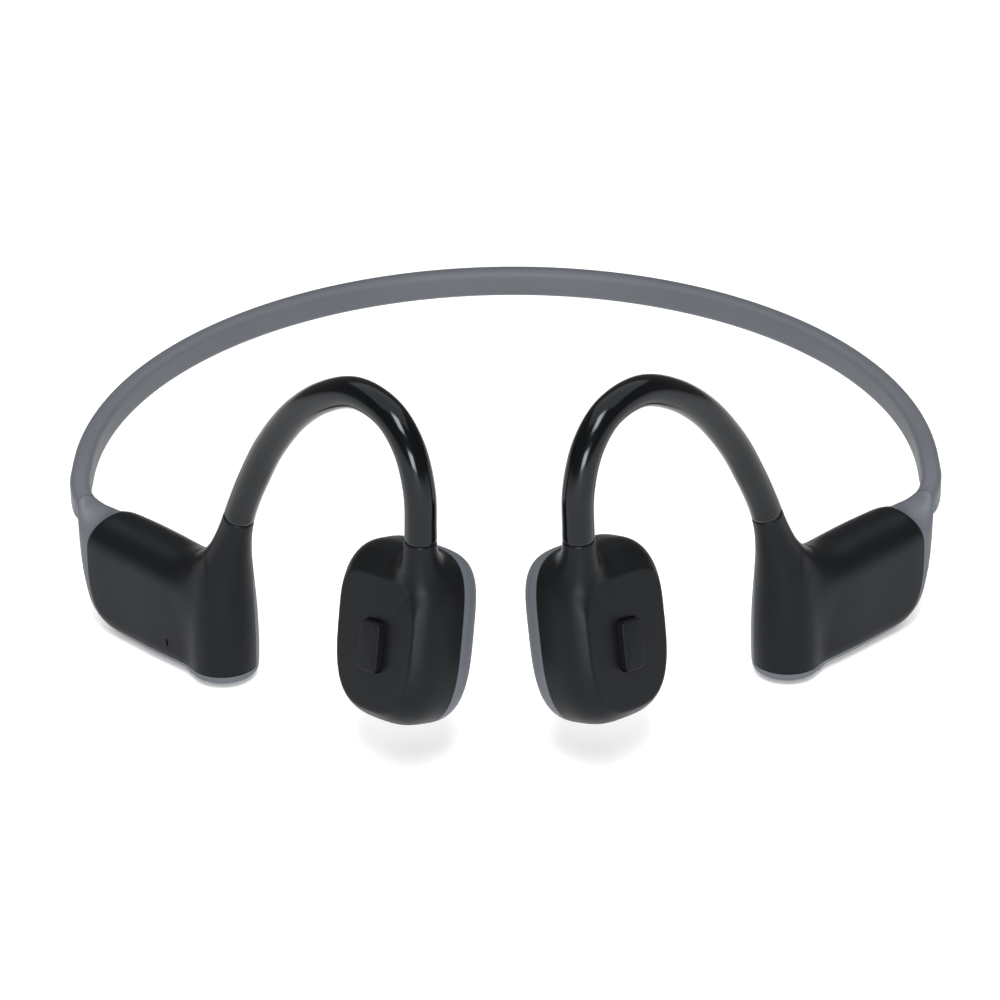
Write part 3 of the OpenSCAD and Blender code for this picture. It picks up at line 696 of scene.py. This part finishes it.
PROF_O = [[-1.35, 0, 0], [1.2, 0.05, 0.1], [2.8, 0.3, 0.4], [4.1, 0.8, 0.9], [5.0, 1.4, 1.4], [5.8, 2.1, 1.8]]
PROF_I = [[-5.8, 3.2, 0], [-5.5, 2.3, 0], [-4.8, 1.25, 0], [-3.8, 0.5, 0], [-2.6, 0.1, 0], [-1.45, 0, 0]]


def spline_prof(prof, n):
    p = np.array(prof, float)
    return [at(p, i * (len(p) - 1) / n) for i in range(n + 1)]


prof = spline_prof(PROF_I, 24) + spline_prof(PROF_O, 24)
pv, pf = loft(pod_rings(prof))
pv = pv @ R_POD.T + POD_C
hv, hf = loft(hook_rings(S1, 20, 60, 40))
# the stub ends inside the pod
pod_raw = smooth_union("pod_raw", (arm(pv), pf), (S1, 20, 1.0), 0.2, lambda w: np.full(len(w), 3.2), 5)


def podl(p):
    return pod(p)


cut_o = cuboid("co", (-30, -1.35 - 0.0, -30), (30, 20, 30), podl)
p_outer = boolean(copy(pod_raw, "po"), cut_o, "INTERSECT")
p_inner = boolean(copy(pod_raw, "pi"), cut_o, "DIFFERENCE")
thin = cuboid("th", (-30, -1.47, -30), (30, 0, 30), podl)
boolean(p_inner, thin, "DIFFERENCE")
drop(thin)
drop(cut_o)

# the flat face stays flat beside the stub
fv, ff = loft([pod_ring(2.1, y, 120, 1.8) for y in (POD_OUT, POD_OUT + 5)])
face_cut = solid("face_cut", fv, ff, podl)
boolean(p_outer, face_cut, "DIFFERENCE")
drop(face_cut)
cv, cf = loft([pod_ring(q[1] + 1.1, q[0], 60, q[2]) for q in [[-3, 0, 0], [1.2, 0.05, 0.1], [2.8, 0.3, 0.4], [4.1, 0.8, 0.9], [4.7, 1.5, 1.5]]])
cav_o = solid("cav_o", cv, cf, podl)
boolean(p_outer, cav_o, "DIFFERENCE")
cv, cf = loft([pod_ring(q[1] + 1.0, q[0], 60) for q in [[-4.8, 2.4], [-3.8, 0.6], [-2.6, 0.1], [0.5, 0.0]]])
cav_i = solid("cav_i", cv, cf, podl)
boolean(p_inner, cav_i, "DIFFERENCE")
drop(cav_o, cav_i, pod_raw)


def at_pod(off):
    return lambda p: pod(np.asarray(p, float) + np.array(off))


w = solid("w", *slab_mesh(BTN_W + 0.34, BTN_L + 0.34, 1.1, 3, 9), local=at_pod((BTN[0], 0, BTN[1])))
boolean(p_outer, w, "DIFFERENCE")
w2 = solid("w2", *slab_mesh(10.4, 16.4, 4.4, -8, POD_IN + 0.5), local=at_pod((0, 0, -1.2)))
boolean(p_inner, w2, "DIFFERENCE")
bore = solid("bore", *loft(hook_rings(S1 - 1, 19.0, 14, 24, 1.25)))
boolean(p_outer, bore, "DIFFERENCE")
drop(w, w2, bore)
p_outer_r, p_inner_r = mirrored(p_outer, "por"), mirrored(p_inner, "pir")

# microphone slit under the right pod
ms = solid("ms", *slab_mesh(2.0, 0.6, 0.28, -3, 3), local=lambda p: pod((np.asarray(p) @ rot((1, 0, 0), math.pi / 2).T) + np.array([3.6, 1.4, -12.5]), -1))
boolean(p_outer_r, ms, "DIFFERENCE")
drop(ms)
for o, nm, part in ((p_outer, "left", "outer"), (p_outer_r, "right", "outer"), (p_inner, "left", "inner"), (p_inner_r, "right", "inner")):
    finish_piece(o, f"pod_{part}_{nm}", M["black" if part == "outer" else "grey"], "arm_" + nm, (f"pod_{part}_shell_{nm}",), smooth=32)

for side, nm in ((1, "left"), (-1, "right")):
    loc = lambda p, s=side: pod(np.asarray(p, float) + np.array([BTN[0], 0, BTN[1]]), s)
    v, f = join("b", [slab_mesh(BTN_W, BTN_L, 1.0, 4.35, POD_OUT + BTN_PROUD, 12, 0.28, 6), slab_mesh(BTN_W + 1.2, BTN_L + 1.2, 1.4, 3.95, 4.3), slab_mesh(BTN_W - 0.6, BTN_L - 0.6, 0.8, 4.2, 4.5)])
    o = solid("btn", v, f, loc)
    finish_piece(o, "button_cap_" + nm, M["face"], "function_button_" + nm, ("function_button_" + nm,), smooth=40)
    loc = lambda p, s=side: pod(np.asarray(p, float) * np.array([1, -1, 1]) + np.array([0, 0, -1.2]), s)
    v, f = slab_mesh(10.2, 16.2, 4.3, -(POD_IN + 0.45), -(POD_IN - 0.25), 16, 0.22, 5)
    o = solid("pad", v, f, loc)
    finish_piece(o, "skin_pad_" + nm, M["pad"], "arm_" + nm, ("contact_pad_" + nm,), smooth=40)

# ------------------------------------------------------------------ finishes for the CAD nodes that stay
NODE_MAT = {"battery": "foil", "battery_board": "board", "battery_foam": "foam", "main_board": "board", "main_board_screws": "steel", "radio_shield": "tin", "board_chips": "chip", "volume_switches": "tin",
            "volume_up_button": "grey", "volume_down_button": "grey", "housing_microphone": "tin", "status_light_pipe": "lens", "charging_contacts": "gold", "charging_magnets": "nickel", "pod_microphone": "tin"}
for nm in ("left", "right"):
    NODE_MAT.update({"housing_seal_" + nm: "foam", "ear_hook_cable_" + nm: "jacket", "button_switch_" + nm: "tin", "transducer_frame_" + nm: "chip", "transducer_yoke_" + nm: "steel",
                     "transducer_magnet_" + nm: "nickel", "transducer_pole_plate_" + nm: "steel", "voice_coil_" + nm: "copper", "suspension_spring_" + nm: "bronze"})
for n, k in NODE_MAT.items():
    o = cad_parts[n]
    o.data.materials.clear()
    o.data.materials.append(M[k])

# ------------------------------------------------------------------ floor, light, camera
me = bpy.data.meshes.new("floor")
me.from_pydata([(-2, -2, 0), (2, -2, 0), (2, 2, 0), (-2, 2, 0)], [], [(0, 1, 2, 3)])
floor = bpy.data.objects.new("floor", me)
bpy.context.collection.objects.link(floor)
me.materials.append(M["floor"])
floor.location.z = -0.0002

world = bpy.data.worlds.new("studio")
bpy.context.scene.world = world
world.use_nodes = True
world.node_tree.nodes["Background"].inputs[0].default_value = (1, 1, 1, 1)
world.node_tree.nodes["Background"].inputs[1].default_value = 0.22


def area(name, loc, target, sx, sy, power):
    l = bpy.data.lights.new(name, "AREA")
    l.shape = "RECTANGLE"
    l.size, l.size_y = sx, sy
    l.energy = power
    o = bpy.data.objects.new(name, l)
    o.location = loc
    o.rotation_euler = (Vector(target) - Vector(loc)).to_track_quat("-Z", "Y").to_euler()
    bpy.context.collection.objects.link(o)
    return o


area("top", (0, 0.10, 0.95), (0, 0.02, 0.0), 1.7, 1.3, 9.5)
area("front", (0, -0.34, 0.42), (0, -0.13, 0.0), 0.16, 0.22, 2.2)
area("low", (0, -0.85, 0.17), (0, 0, 0.02), 0.30, 0.22, 4.5)

# the camera looks from the front and above, as the fitted view of the object asks
E, YAWC, ROLL, D, F, OX, OZ = 26.605, -1.008, -0.818, 562.983, 6.819, -0.748, 17.679
er, yr, rl = math.radians(E), math.radians(YAWC), math.radians(ROLL)
d = np.array([math.sin(yr) * math.cos(er), math.cos(yr) * math.cos(er), -math.sin(er)])
r = np.array([math.cos(yr), -math.sin(yr), 0.0])
u = np.cross(r, d)
r2, u2 = r * math.cos(rl) + u * math.sin(rl), -r * math.sin(rl) + u * math.cos(rl)
T = np.array([OX, -Y_MID, OZ])
C = (T - D * d) / 1000
cam = bpy.data.cameras.new("camera")
cam.sensor_width = 36
cam.lens = F * D / 1000 * 36
cam.clip_start = 0.01
co = bpy.data.objects.new("camera", cam)
mat = Matrix(((r2[0], u2[0], -d[0], C[0]), (r2[1], u2[1], -d[1], C[1]), (r2[2], u2[2], -d[2], C[2]), (0, 0, 0, 1)))
co.matrix_world = mat
bpy.context.collection.objects.link(co)
bpy.context.scene.camera = co
bpy.context.scene.view_settings.view_transform = "Standard"
